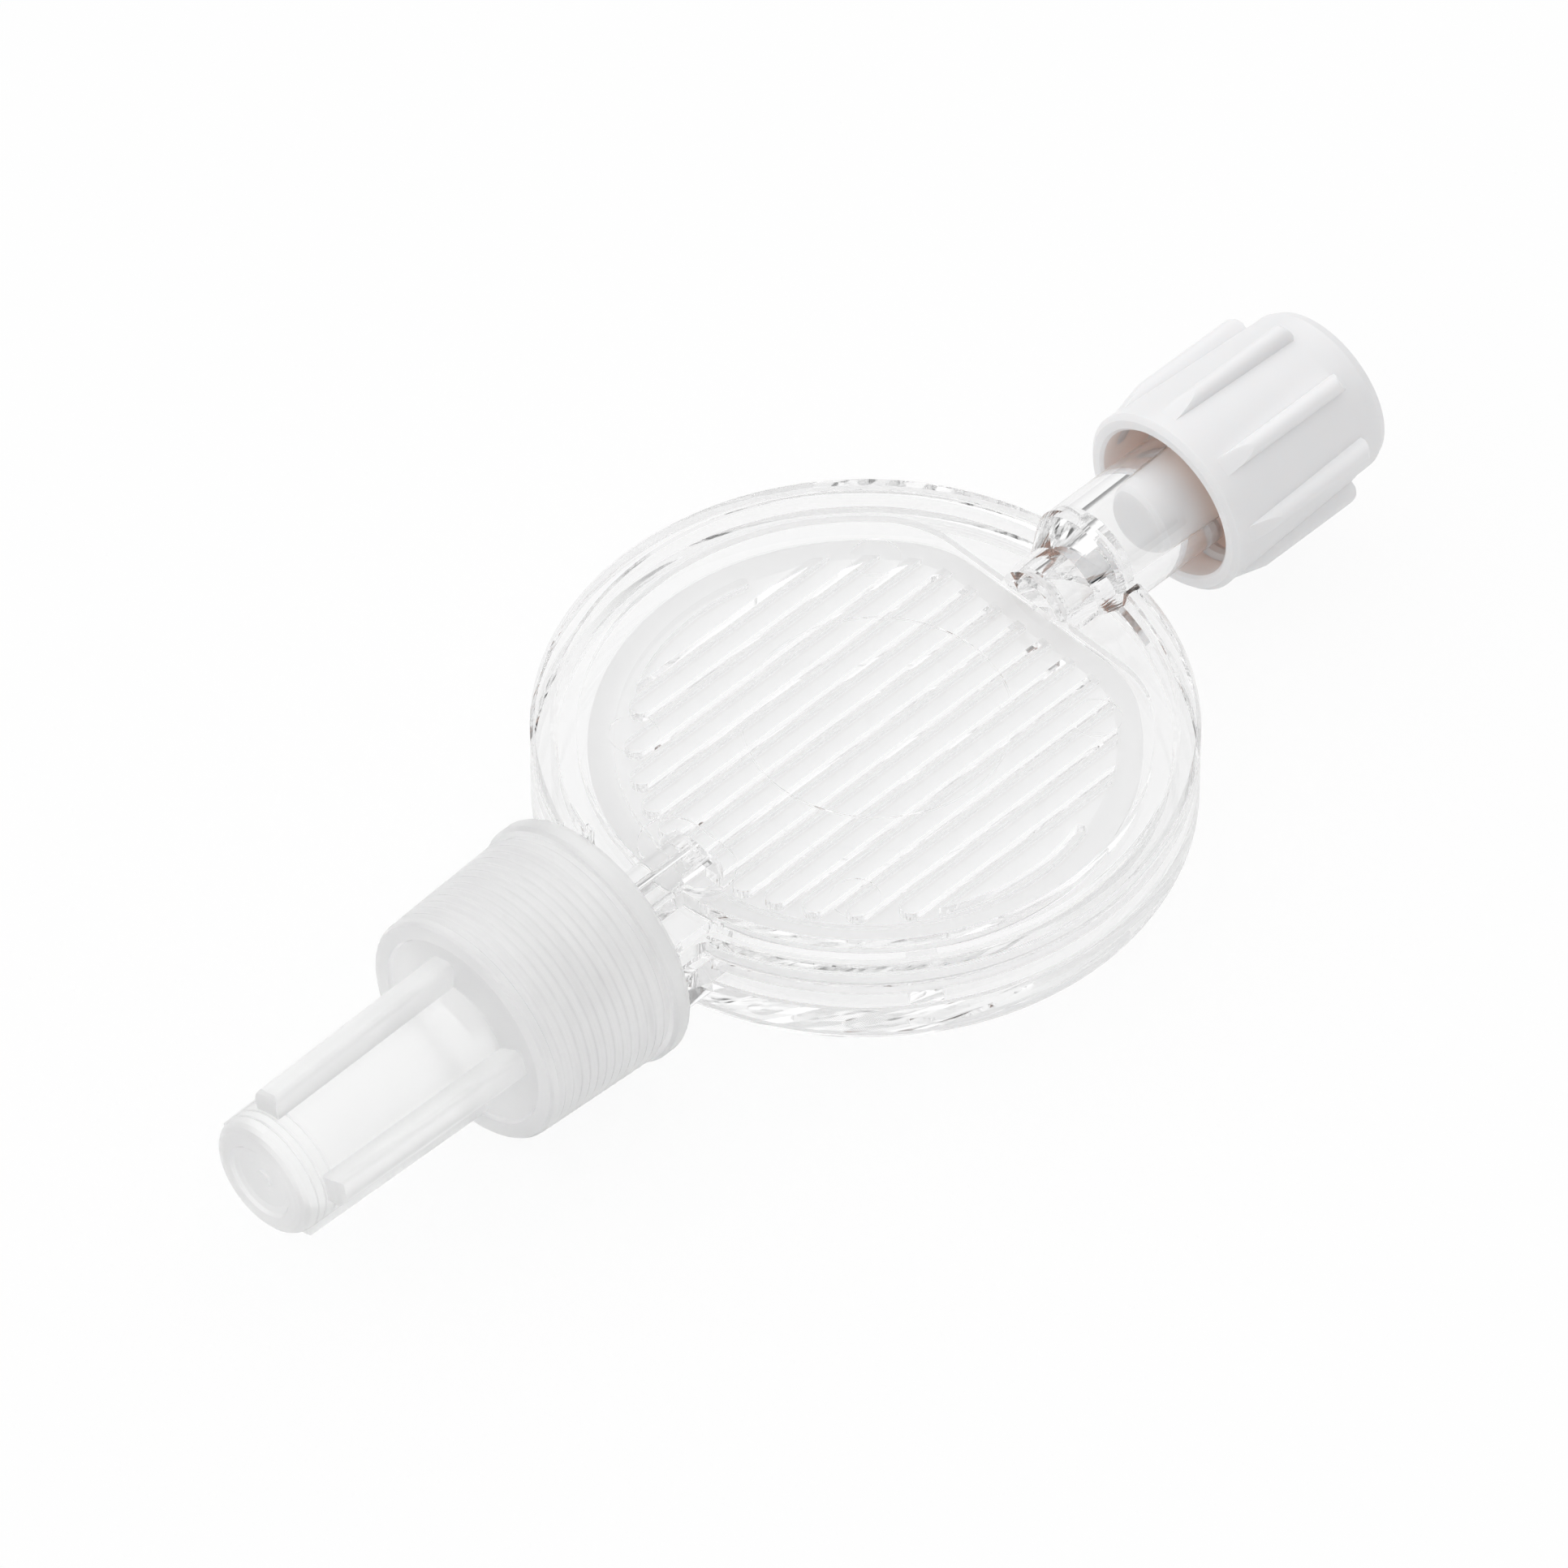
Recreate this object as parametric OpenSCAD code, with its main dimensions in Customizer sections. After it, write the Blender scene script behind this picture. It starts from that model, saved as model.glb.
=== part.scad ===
// In-line disc filter with luer ports, a closing plug on the inlet and a cap on the outlet.
// The origin is on the disc axis, on the underside of the disc. +X points to the inlet.

/* [Disc] */
// Outer diameter of the disc
disc_d = 31; // [28:0.5:40]
// Overall thickness of the disc at its rim
disc_t = 4.9; // [4.6:0.1:6]
// Height of the outer flange of the lower housing
lower_flange_t = 2.15; // [1.8:0.05:2.25]
// Height of the groove between the two flanges
flange_gap = 0.9; // [0.6:0.05:1.2]
// Radial depth of the groove between the two flanges
flange_gap_depth = 1.2; // [0.8:0.1:1.6]
// Width of the raised rim
rim_w = 1.05; // [0.8:0.05:1.6]
// Width of the trough inside the raised rim
trough_w = 1.1; // [0.8:0.1:2]
// Thickness of the trough floor above the groove
trough_floor_t = 0.65; // [0.4:0.05:1]
// Distance of the centre plate below the top of the rim
plate_drop = 0.45; // [0.1:0.05:0.8]
// Distance from the round edge of the plate to its straight edge at the inlet
plate_chord_inset = 2.1; // [1.6:0.05:2.8]
// Rounding of the corners at the straight edge of the plate
plate_corner_r = 5; // [2:0.1:7]
// Bevel on the edges of the rims
rim_bevel = 0.22; // [0.05:0.01:0.35]
// Rounding of the lowest edge of the disc
base_round = 0.34; // [0.1:0.02:0.5]
// Angle of the gate mark in the groove, from the inlet
gate_angle = 235.5; // [190:0.5:260]
// Width of the gate mark in the groove
gate_w = 1.6; // [1:0.1:2.4]

/* [Membrane] */
// Thickness of the membrane
membrane_t = 0.2; // [0.1:0.05:0.4]
// Height of the top of the membrane, where the two housings meet
membrane_top_z = 2.4; // [2.3:0.05:2.6]
// Width of the clamped edge of the membrane
clamp_w = 1.2; // [0.8:0.1:2]
// Distance of the membrane edge inside the edge of the centre plate
membrane_inset = 0.5; // [0.3:0.05:1.2]
// Distance of the straight edge of the membrane beyond that of the plate
membrane_chord_reach = 0.25; // [0:0.05:0.4]
// Clearance between the membrane edge and its seat
membrane_clearance = 0.1; // [0.05:0.05:0.3]

/* [Channels] */
// Distance between neighbouring ribs
rib_pitch = 1.6; // [1.2:0.1:2.4]
// Width of one channel between two ribs
channel_w = 0.53; // [0.3:0.01:0.9]
// Depth of the channels in both housings
channel_depth = 0.5; // [0.3:0.05:0.7]
// Angle from the port axis at which the collecting channel ends
collector_end_angle = 75; // [60:1:85]
// Radius of the ejector marks
ejector_r = 1.18; // [0.8:0.02:1.5]
// Distance of the ejector marks inside the edge of the centre plate
ejector_inset = 2.65; // [2:0.05:4]
// Angle of the ejector marks from the port axis
ejector_angle = 42.3; // [35:0.1:55]
// Depth of the ejector marks and the insert mark
mark_depth = 0.05; // [0.02:0.01:0.1]
// Radius of the insert mark in the middle of the plate
insert_r = 6.36; // [5:0.02:7]
// Offset of the insert mark towards the inlet
insert_x = 0.75; // [0:0.05:1.5]

/* [Inlet] */
// Height of the axis of the inlet hub
inlet_z = 4.6; // [4.4:0.05:5.2]
// Outer diameter of the inlet hub
hub_d = 5.8; // [5.4:0.1:6.4]
// Depth of the luer bore in the hub
hub_bore_l = 9.9; // [9:0.1:12]
// Distance of the bottom of the luer bore inside the edge of the disc
hub_inset = 0.2; // [0:0.05:0.5]
// Thickness of the wall behind the luer bore
hub_floor_t = 1; // [0.7:0.05:1.2]
// Diameter of the hub bore at its open end
luer_female_d = 4.3; // [4.25:0.01:4.35]
// Full taper of the luer cones, as a share of their length
luer_taper = 0.06; // [0.05:0.01:0.06]
// Radius over the two lugs at the open end of the hub
lug_r = 3.75; // [3.4:0.05:3.85]
// Width of each lug
lug_w = 3.4; // [2.5:0.1:4]
// Length of each lug along the hub
lug_l = 1.6; // [1:0.1:2.4]
// Diameter of the stub that runs from the hub over the plate
stub_d = 4.5; // [4:0.1:5]
// Height of the axis of the stub
stub_z = 3.8; // [3.4:0.05:4.2]
// Length of the stub
stub_l = 2.1; // [1.8:0.05:3]
// Length of the shoulder between stub and hub
shoulder_l = 1.2; // [0.8:0.1:1.6]
// Rounding of the edge of the stub
stub_round = 0.5; // [0.2:0.05:0.8]
// Diameter of the passage in the stub
inlet_lumen_d = 2.6; // [1.6:0.1:2.8]
// Diameter of the drop hole from the stub to the lower chamber
drop_d = 1.2; // [0.8:0.1:1.6]
// Distance of the drop hole outside the membrane
drop_gap = 0.3; // [0.2:0.05:0.5]

/* [Outlet] */
// Height of the axis of the outlet
outlet_z = 3.8; // [3.6:0.05:4]
// Outer diameter of the outlet tube across the trough
outlet_tube_d = 3; // [2.6:0.1:3.4]
// Diameter of the passage in the outlet tube
outlet_lumen_d = 1; // [0.6:0.1:1.4]
// Distance of the collecting slot inside the edge of the centre plate
slot_inset = 2.17; // [2.05:0.02:2.25]
// Width of the collecting slot
slot_w = 1; // [0.7:0.05:1.2]
// Length of the collecting slot
slot_l = 3.7; // [2.5:0.1:4.4]
// Height of the slot above the membrane
slot_h = 1.75; // [1.2:0.05:1.8]
// Radius of the round pocket at one end of the slot
pocket_r = 1.05; // [0.7:0.05:1.15]
// Offset of the slot across the port axis
pocket_offset = -0.2; // [-0.4:0.05:0.4]
// Wall between the slot and the side of its boss
boss_wall = 0.7; // [0.5:0.05:1]
// Width of the boss
boss_w = 3.2; // [2.8:0.1:3.3]
// Length of the boss
boss_l = 5.2; // [4.6:0.1:6]
// Height of the boss above the plate
boss_h = 0.2; // [0.1:0.05:0.6]
// Outer width of the open neck between disc and collar
neck_w = 8.8; // [8:0.1:9.4]
// Wall of the neck on each side
neck_wall = 0.6; // [0.4:0.05:1]
// Rounding outside where the neck meets the disc
neck_round = 1; // [0.4:0.1:1.4]
// Rounding inside where the neck meets the trough
trough_round = 0.6; // [0.3:0.1:1]
// Width of the block under the neck
block_w = 9.6; // [9:0.1:10]
// Height of the underside of the block
block_z = 1.5; // [1.2:0.1:1.8]
// Distance from the disc edge to the back of the lock collar
collar_gap = 1.4; // [1:0.1:3]
// Length of the lock collar
collar_l = 7; // [6:0.1:7.2]
// Outer diameter of the lock collar
collar_d = 9.8; // [9.4:0.1:10.4]
// Inner diameter of the lock collar
collar_bore_d = 8; // [7.8:0.1:8.2]
// Thickness of the end wall of the lock collar
collar_floor_t = 1; // [0.8:0.1:1.4]
// Diameter of the male luer cone at its tip
luer_male_d = 3.97; // [3.92:0.01:4.02]
// Length of the male luer cone ahead of the collar
luer_ahead = 2.1; // [1.5:0.1:2.5]

/* [Closing plug] */
// Length of the hub that the plug covers
plug_cover = 5.5; // [4.5:0.1:6.5]
// Overall length of the plug skirt
plug_l = 10.9; // [10.2:0.1:12.4]
// Clearance between the lugs of the hub and the plug skirt
plug_clearance = 0.22; // [0.1:0.01:0.4]
// Wall of the plug skirt at its mouth
plug_wall = 0.83; // [0.7:0.01:1.2]
// Amount by which the outer diameter of the plug tapers
plug_taper = 0.8; // [0.4:0.1:1]
// Thickness of the closed end of the plug
plug_floor_t = 2; // [1.2:0.1:2.4]
// Distance that the plug cone stands out of the mouth
plug_cone_out = 2; // [1:0.1:2.4]
// Number of grip ribs
plug_ribs = 8; // [6:1:10]
// Height of the grip ribs above the closed end of the plug
plug_rib_h = 0.8; // [0.5:0.05:1.2]
// Width of each grip rib
plug_rib_w = 0.95; // [0.7:0.05:1.4]
// Turn of the grip ribs about the inlet axis
plug_rib_turn = -8.5; // [-22:0.5:22]
// Length of the ramp at the mouth end of the ribs
plug_ramp_l = 3.2; // [1.5:0.1:4]
// Bare length between the ribs and the closed end
plug_band_l = 2; // [1:0.1:2.5]
// Rounding of the closed end
plug_round = 0.6; // [0.3:0.05:0.8]

/* [Protective cap] */
// Distance from the back of the lock collar to the open end of the cap
cap_gap = 0.6; // [0.2:0.1:1]
// Clearance between the lock collar and the cap skirt
cap_clearance = 0.2; // [0.1:0.05:0.4]
// Length of the cap skirt
cap_skirt_l = 8.46; // [8.2:0.02:10]
// Height of the flange at the open end above the skirt
cap_flange_h = 0.22; // [0.1:0.05:0.8]
// Length of the flange
cap_flange_l = 1.1; // [0.8:0.1:2]
// Wall of the skirt behind the flange
cap_wall = 1.02; // [0.8:0.02:1.3]
// Wall of the skirt at its front
cap_front_wall = 0.73; // [0.6:0.01:1]
// Number of grip rings on the skirt
grip_rings = 13; // [8:1:16]
// Depth of the grooves between the grip rings
grip_depth = 0.09; // [0.04:0.01:0.15]
// Thickness of the web between skirt and nose
cap_web_t = 0.8; // [0.7:0.05:1.2]
// Depth of the recess inside the front lip
cap_recess = 0.2; // [0.1:0.05:0.5]
// Width of the front lip
cap_lip_w = 0.82; // [0.6:0.02:1]
// Distance that the web bulges ahead of the lip at the nose
cap_bulge = 0.36; // [0.1:0.02:0.6]
// Diameter of the nose where it meets the web
nose_base_d = 6.5; // [6:0.1:7]
// Diameter of the nose at its tip
nose_tip_d = 6.04; // [5.6:0.02:6.2]
// Length of the nose ahead of the skirt
nose_l = 12.8; // [8:0.1:16]
// Rounding of the nose tip
nose_round = 0.65; // [0.2:0.05:0.8]
// Diameter of the shallow recess in the tip
tip_recess_d = 3.7; // [3:0.1:4.2]
// Depth of the shallow recess in the tip
tip_recess_depth = 0.3; // [0.1:0.05:0.5]
// Radius of the gate mark in the middle of the tip
gate_r = 0.45; // [0.3:0.05:0.6]
// Number of ribs on the nose
nose_ribs = 4; // [3:1:6]
// Width of each rib on the nose
nose_rib_w = 1.4; // [0.8:0.1:1.8]
// Height of the ribs above the nose at the web
nose_rib_h = 1.1; // [0.5:0.05:1.4]
// Height of the ribs above the nose at their end
nose_rib_end_h = 1; // [0.3:0.05:1.2]
// Rounding of the edges of the ribs
nose_rib_round = 0.35; // [0.1:0.05:0.5]
// Bare length between the ribs and the tip of the nose
nose_bare_l = 1.4; // [1:0.1:4]
// Turn of the nose ribs about the outlet axis
nose_rib_turn = 75; // [0:1:89]
// Depth of the fine rings near the tip of the nose
nose_ring_depth = 0.05; // [0.02:0.01:0.08]

/* [Hidden] */

$fn = 96;
overlap = 0.1;          // how far joined shapes reach into each other
end_ease = 0.02;        // extra width of a round channel end, so that it cuts the side walls cleanly
fit_clearance = 0.08;   // gap between the luer cones and the bores that hold them

disc_r = disc_d / 2;
rim_r = disc_r - rim_w;
plate_r = rim_r - trough_w;
plate_chord_x = plate_r - plate_chord_inset;
plate_z = disc_t - plate_drop;
groove_r = disc_r - flange_gap_depth;
upper_flange_z = lower_flange_t + flange_gap;
trough_z = upper_flange_z + trough_floor_t;
membrane_r = plate_r - membrane_inset;
membrane_chord_x = plate_chord_x + membrane_chord_reach;
membrane_z = membrane_top_z - membrane_t;
flow_r = membrane_r - clamp_w;
flow_chord_x = membrane_chord_x - clamp_w;
ejector_at = plate_r - ejector_inset;
rib_w = rib_pitch - channel_w;
rib_tip_r = flow_r - channel_w - rib_w / 2;
channel_pairs = floor(0.9 * rib_tip_r / rib_pitch + 0.5);

hub_r = hub_d / 2;
hub_bottom_x = disc_r - hub_inset;
hub_end_x = hub_bottom_x + hub_bore_l;
hub_back_x = hub_bottom_x - hub_floor_t;
shoulder_x = hub_back_x - shoulder_l;
stub_end_x = shoulder_x - stub_l;
drop_x = membrane_chord_x + drop_gap + drop_d / 2;

slot_x = plate_r - slot_inset;
collar_back_x = disc_r + collar_gap;
collar_front_x = collar_back_x + collar_l;
luer_tip_x = collar_front_x + luer_ahead;
luer_base_r = luer_male_d / 2 + (collar_l + luer_ahead) * luer_taper / 2;

plug_mouth_x = hub_end_x - plug_cover;
plug_end_x = plug_mouth_x + plug_l;
plug_tip_x = plug_mouth_x - plug_cone_out;
plug_bore_r = lug_r + plug_clearance;
plug_mouth_r = plug_bore_r + plug_wall;
plug_end_r = plug_mouth_r - plug_taper / 2;

cap_back_x = collar_back_x + cap_gap;
cap_front_x = cap_back_x + cap_skirt_l;
cap_bore_r = collar_d / 2 + cap_clearance;
cap_skirt_r = cap_bore_r + cap_wall;
cap_front_r = cap_bore_r + cap_front_wall;
nose_base_x = cap_front_x + cap_bulge;
nose_tip_x = cap_front_x + nose_l;
nose_slope = (nose_base_d - nose_tip_d) / 2 / (nose_tip_x - nose_base_x);
nose_rings = [1.86, 1.26, 0.8];   // distances of the fine rings from the tip of the nose

// ---- shapes that repeat ----

// Runs a profile of [distance along the axis, radius] points around the X axis at height z.
module turned(points, z, dir = 1) {
    translate([0, 0, z])
        rotate([0, dir * 90, 0])
            rotate_extrude()
                polygon([for (p = points) [p[1], p[0]]]);
}

// Round bar along X from x0 to x1 with radii r0 and r1.
module bar_x(x0, x1, r0, r1, z) {
    translate([x0, 0, z])
        rotate([0, 90, 0])
            cylinder(h = x1 - x0, r1 = r0, r2 = r1);
}

// Disc of radius r, cut straight at x, with the corners there rounded.
module d_outline(r, x, corner_r) {
    cx = x - corner_r;
    cy = sqrt(pow(r - corner_r, 2) - cx * cx);
    reach = 2 * r / (r - corner_r);
    difference() {
        circle(r);
        difference() {
            polygon([[x, -cy], [cx, -cy], [cx * reach, -cy * reach],
                     [cx * reach, cy * reach], [cx, cy], [x, cy]]);
            translate([cx, cy])
                circle(corner_r);
            translate([cx, -cy])
                circle(corner_r);
        }
    }
}

// Bar of width w between x0 and x1 with a round end at each side that is asked for.
module slot_outline(x0, x1, w, round_start = true, round_end = true) {
    translate([x0, -w / 2])
        square([x1 - x0, w]);
    if (round_start)
        translate([x0, 0])
            circle(d = w);
    if (round_end)
        translate([x1, 0])
            circle(d = w);
}

// Filler between the outside of a circle of radius r and a line at distance h beside it.
module corner_filler(r, h, round_r) {
    cx = -sqrt(pow(r + round_r, 2) - pow(h + round_r, 2));
    cy = h + round_r;
    reach = r / (r + round_r);
    difference() {
        polygon([[-sqrt(r * r - h * h) + overlap, h - overlap], [cx, h - overlap],
                 [cx, h], [cx, cy], [cx * reach, cy * reach]]);
        translate([cx, cy])
            circle(round_r);
    }
}

// The same filler on both sides of the port axis.
module corner_fillers(r, h, round_r) {
    corner_filler(r, h, round_r);
    mirror([0, 1])
        corner_filler(r, h, round_r);
}

// Bar of width w that runs out from the disc to the back of the lock collar.
module neck_bar(w) {
    translate([-collar_back_x, -w / 2])
        square([collar_back_x - groove_r + 1, w]);
}

// ---- flow channels ----

// One support rib at distance y from the port axis, with its free end rounded.
module rib_outline(y) {
    translate([-sqrt(rib_tip_r * rib_tip_r - y * y), y])
        slot_outline(0, flow_r * 2, rib_w, true, false);
}

// The land outside the last straight channel, with the collecting channel cut round it.
module side_land() {
    edge_y = (channel_pairs + 0.5) * rib_pitch - rib_w / 2;
    difference() {
        translate([-flow_r, edge_y])
            square([2 * flow_r, flow_r]);
        difference() {
            rotate(collector_end_angle)
                square([2 * flow_r, 2 * flow_r]);
            circle(flow_r - channel_w);
        }
        rotate(collector_end_angle)
            translate([flow_r - channel_w / 2, 0])
                circle(d = channel_w + end_ease);
    }
}

// All channels of one housing: between the ribs and round their free ends.
module channels_outline() {
    difference() {
        d_outline(flow_r, flow_chord_x, plate_corner_r - clamp_w);
        for (k = [0.5 : 1 : channel_pairs - 0.5]) {
            rib_outline(k * rib_pitch);
            rib_outline(-k * rib_pitch);
        }
        side_land();
        mirror([0, 1])
            side_land();
    }
}

// ---- upper housing ----

// Upper housing without its ports: the turned body with flange, rim and trough, and the centre plate.
module upper_disc() {
    rotate_extrude($fn = 192)
        polygon([[0, membrane_top_z], [groove_r, membrane_top_z], [groove_r, upper_flange_z],
                 [disc_r - rim_bevel / 2, upper_flange_z], [disc_r, upper_flange_z + rim_bevel / 2],
                 [disc_r, disc_t - rim_bevel], [disc_r - rim_bevel, disc_t],
                 [rim_r + rim_bevel / 2, disc_t], [rim_r, disc_t - rim_bevel / 2],
                 [rim_r, trough_z + rim_bevel], [rim_r - rim_bevel, trough_z], [0, trough_z]]);
    translate([0, 0, trough_z - overlap])
        linear_extrude(plate_z - trough_z + overlap, $fn = 192)
            d_outline(plate_r, plate_chord_x, plate_corner_r);
}

// Open trough of the neck, which runs on from the trough of the disc.
module neck_trough() {
    inner_w = neck_w - 2 * neck_wall;
    translate([0, 0, trough_z])
        linear_extrude(disc_t) {
            translate([-collar_back_x + overlap, -inner_w / 2])
                square([collar_back_x - overlap - plate_r - 0.2, inner_w]);
            corner_fillers(rim_r, inner_w / 2, trough_round);
        }
}

// The part of the neck that belongs to the lower housing: a block under the open neck.
module lower_neck() {
    translate([0, 0, block_z])
        linear_extrude(upper_flange_z - block_z)
            difference() {
                neck_bar(block_w);
                circle(groove_r);
            }
}

// The part of the neck that belongs to the upper housing: the block and the open neck on it.
module upper_neck() {
    block_top_z = trough_z + 0.1;
    translate([0, 0, upper_flange_z])
        linear_extrude(block_top_z - upper_flange_z)
            difference() {
                neck_bar(block_w);
                circle(groove_r);
            }
    translate([0, 0, upper_flange_z])
        linear_extrude(disc_t - upper_flange_z)
            difference() {
                union() {
                    neck_bar(neck_w);
                    corner_fillers(disc_r, neck_w / 2, neck_round);
                }
                circle(groove_r);
            }
}

// Female luer hub with its lugs, the shoulder and the stub over the plate.
module inlet_body() {
    turned([[stub_end_x, 0], [stub_end_x, stub_d / 2 - stub_round],
            [stub_end_x + 0.3 * stub_round, stub_d / 2 - 0.3 * stub_round],
            [stub_end_x + stub_round, stub_d / 2], [shoulder_x, stub_d / 2], [shoulder_x, 0]], stub_z);
    translate([stub_end_x, -stub_d / 2, membrane_top_z])
        cube([shoulder_x - stub_end_x, stub_d, stub_z - membrane_top_z]);
    hull() {
        bar_x(shoulder_x - 0.01, shoulder_x, stub_d / 2, stub_d / 2, stub_z, $fn = 48);
        bar_x(hub_back_x - 0.3, hub_back_x - 0.29, hub_r - 0.15, hub_r - 0.15, inlet_z, $fn = 48);
        bar_x(hub_back_x, hub_back_x + 0.01, hub_r, hub_r, inlet_z, $fn = 48);
    }
    bar_x(hub_back_x, hub_end_x, hub_r, hub_r, inlet_z);
    intersection() {
        bar_x(hub_end_x - lug_l, hub_end_x, lug_r, lug_r, inlet_z);
        translate([hub_end_x - lug_l, -lug_w / 2, inlet_z - lug_r])
            cube([lug_l, lug_w, 2 * lug_r]);
    }
}

// Luer bore of the hub, the passage in the stub and the hole down to the lower chamber.
module inlet_passages() {
    female_r = luer_female_d / 2;
    bar_x(hub_bottom_x, hub_end_x + overlap, female_r - hub_bore_l * luer_taper / 2,
          female_r + overlap * luer_taper / 2, inlet_z);
    bar_x(drop_x - drop_d / 2, hub_bottom_x + overlap, inlet_lumen_d / 2, inlet_lumen_d / 2, stub_z + 0.25);
    translate([drop_x, 0, membrane_top_z - overlap])
        cylinder(h = stub_z - membrane_top_z + overlap, d = drop_d);
}

// Outline of the collecting slot, with the round pocket at one end of it.
module collecting_slot() {
    pocket_y = pocket_r - slot_l / 2;
    translate([-slot_x, pocket_offset]) {
        translate([-slot_w / 2, pocket_y])
            square([slot_w, slot_l / 2 - pocket_y]);
        translate([slot_w / 2 - pocket_r, pocket_y])
            circle(pocket_r);
    }
}

// Boss, outlet tube and the male luer with its lock collar.
module outlet_body() {
    translate([0, 0, plate_z - 0.3])
        linear_extrude(boss_h + 0.3)
            translate([slot_w / 2 + boss_wall - boss_w / 2 - slot_x, 0])
                rotate(90)
                    slot_outline((boss_w - boss_l) / 2, (boss_l - boss_w) / 2, boss_w);
    bar_x(-collar_back_x - overlap, -slot_x, outlet_tube_d / 2, outlet_tube_d / 2, outlet_z);
    turned([[collar_back_x - overlap, 0], [collar_back_x - overlap, collar_d / 2 - 0.3],
            [collar_back_x + 0.3, collar_d / 2],
            [collar_front_x, collar_d / 2], [collar_front_x, collar_bore_d / 2],
            [collar_back_x + collar_floor_t, collar_bore_d / 2],
            [collar_back_x + collar_floor_t, luer_base_r],
            [luer_tip_x - 0.2, luer_male_d / 2], [luer_tip_x, luer_male_d / 2 - 0.2], [luer_tip_x, 0]],
           outlet_z, -1);
}

// Slot that collects the filtrate and the passage from it to the luer tip.
module outlet_passages() {
    translate([0, 0, membrane_top_z - overlap])
        linear_extrude(slot_h + overlap)
            collecting_slot();
    bar_x(-luer_tip_x - overlap, -slot_x, outlet_lumen_d / 2, outlet_lumen_d / 2, outlet_z);
}

// Shallow round marks that the mould leaves on the plate.
module mould_marks() {
    for (a = [ejector_angle, 180 - ejector_angle, 180 + ejector_angle, -ejector_angle])
        rotate(a)
            translate([ejector_at, 0, plate_z - mark_depth])
                cylinder(h = 1, r = ejector_r);
    translate([insert_x, 0, plate_z - mark_depth])
        difference() {
            cylinder(h = 1, r = insert_r);
            translate([0, 0, -overlap])
                cylinder(h = 2, r = insert_r - 2 * mark_depth);
        }
}

module upper_housing() {
    color("aliceblue")
        difference() {
            union() {
                difference() {
                    union() {
                        upper_disc();
                        upper_neck();
                    }
                    neck_trough();
                    mould_marks();
                }
                difference() {
                    union() {
                        inlet_body();
                        outlet_body();
                    }
                    translate([0, 0, -disc_t])
                        cylinder(h = disc_t + membrane_top_z, r = groove_r);
                    cylinder(h = lower_flange_t, r = disc_r);
                    lower_neck();
                }
            }
            translate([0, 0, membrane_top_z - overlap])
                linear_extrude(channel_depth + overlap)
                    channels_outline();
            inlet_passages();
            outlet_passages();
        }
}

// ---- lower housing ----

// Turned body of the lower housing: base, flange and the land that carries the upper housing.
module lower_disc() {
    rotate_extrude($fn = 192)
        polygon([[0, 0], [disc_r - base_round, 0], [disc_r - 0.29 * base_round, 0.29 * base_round],
                 [disc_r, base_round],
                 [disc_r, lower_flange_t - rim_bevel / 2], [disc_r - rim_bevel / 2, lower_flange_t],
                 [groove_r, lower_flange_t], [groove_r, membrane_top_z], [0, membrane_top_z]]);
}

// Rest of the gate, which stands in the groove between the flanges.
module gate_mark() {
    rotate(gate_angle)
        translate([groove_r - overlap, -gate_w / 2, lower_flange_t - overlap])
            cube([disc_r - 0.2 - groove_r + overlap, gate_w, flange_gap - 0.1 + overlap]);
}

module lower_housing() {
    color("lightcyan")
        difference() {
            union() {
                lower_disc();
                lower_neck();
                gate_mark();
            }
            translate([0, 0, membrane_z])
                linear_extrude(membrane_t + overlap)
                    d_outline(membrane_r + membrane_clearance, membrane_chord_x + membrane_clearance,
                              plate_corner_r);
            translate([0, 0, membrane_z - channel_depth])
                linear_extrude(channel_depth + overlap) {
                    channels_outline();
                    translate([flow_chord_x - channel_w, -flow_chord_x * 0.5])
                        square([channel_w, flow_chord_x]);
                }
            translate([0, 0, membrane_z - channel_depth])
                linear_extrude(membrane_top_z)
                    slot_outline(flow_chord_x - channel_w, drop_x, drop_d, false, true);
        }
}

// ---- membrane ----

module membrane() {
    color("white")
        translate([0, 0, membrane_z])
            linear_extrude(membrane_t)
                d_outline(membrane_r, membrane_chord_x, plate_corner_r);
}

// ---- closing plug ----

// Section of one grip rib: a bar that stands radially, with a round crest.
module grip_rib_section() {
    crest_r = plug_end_r + plug_rib_h - plug_rib_w / 2;
    translate([0, -plug_rib_w / 2])
        square([crest_r, plug_rib_w]);
    translate([crest_r, 0])
        circle(d = plug_rib_w, $fn = 32);
}

// All grip ribs, trimmed by a turned shape to a ramp at the mouth and a round end.
module grip_ribs() {
    top_r = plug_end_r + plug_rib_h;
    rib_end_x = plug_end_x - plug_band_l;
    difference() {
        intersection() {
            for (k = [0 : plug_ribs - 1])
                translate([plug_mouth_x, 0, inlet_z])
                    rotate([plug_rib_turn + k * 360 / plug_ribs, 0, 0])
                        rotate([0, 90, 0])
                            linear_extrude(plug_l)
                                rotate(180)
                                    grip_rib_section();
            turned([[plug_mouth_x + 0.5, 0], [plug_mouth_x + 0.5, plug_mouth_r - 0.15],
                    [plug_mouth_x + plug_ramp_l, top_r + overlap], [rib_end_x - 0.5, top_r + overlap],
                    [rib_end_x - 0.15, top_r - 0.15], [rib_end_x, top_r - 0.5], [rib_end_x, 0]], inlet_z);
        }
        bar_x(plug_mouth_x, plug_end_x, plug_bore_r + plug_wall / 2, plug_bore_r + plug_wall / 2, inlet_z);
    }
}

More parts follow.
